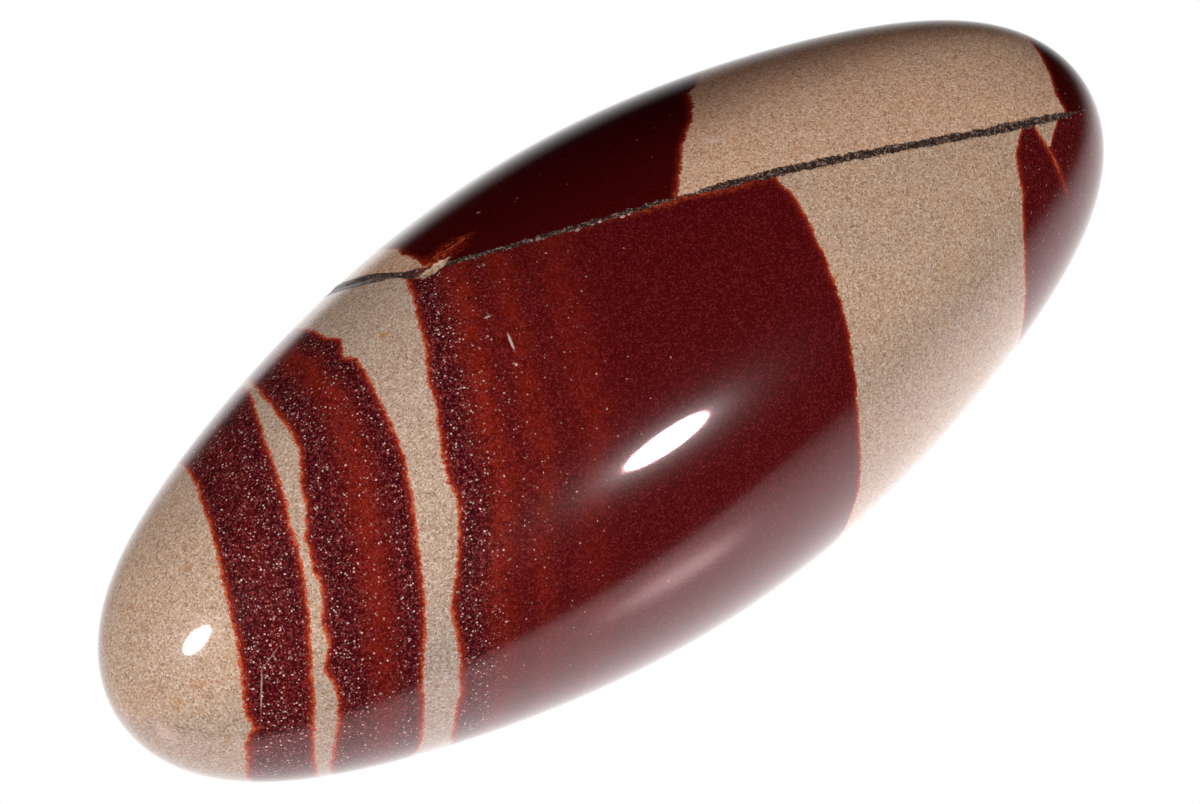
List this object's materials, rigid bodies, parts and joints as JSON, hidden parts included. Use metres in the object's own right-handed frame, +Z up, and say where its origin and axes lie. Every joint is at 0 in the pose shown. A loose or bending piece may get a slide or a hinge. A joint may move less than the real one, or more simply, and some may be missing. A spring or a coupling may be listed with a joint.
{
  "type": "river pebble",
  "caption": "Polished elongated river pebble of tan stone with dark red bands and a dark mineral vein, lying on its side; a decorative stone.",
  "frame": {"origin": "middle of the small worn flat under the stone, on the surface that it rests on", "axes": "+X along the stone's length, towards the end that is farther from the picture's camera; +Y across it; +Z up"},
  "size_m": [0.075, 0.0308, 0.0296],
  "materials": {
    "banded_stone": "polished, tan with deep red bands"
  },
  "bodies": {
    "root": {"pebble": "banded_stone"}
  },
  "joints": []
}
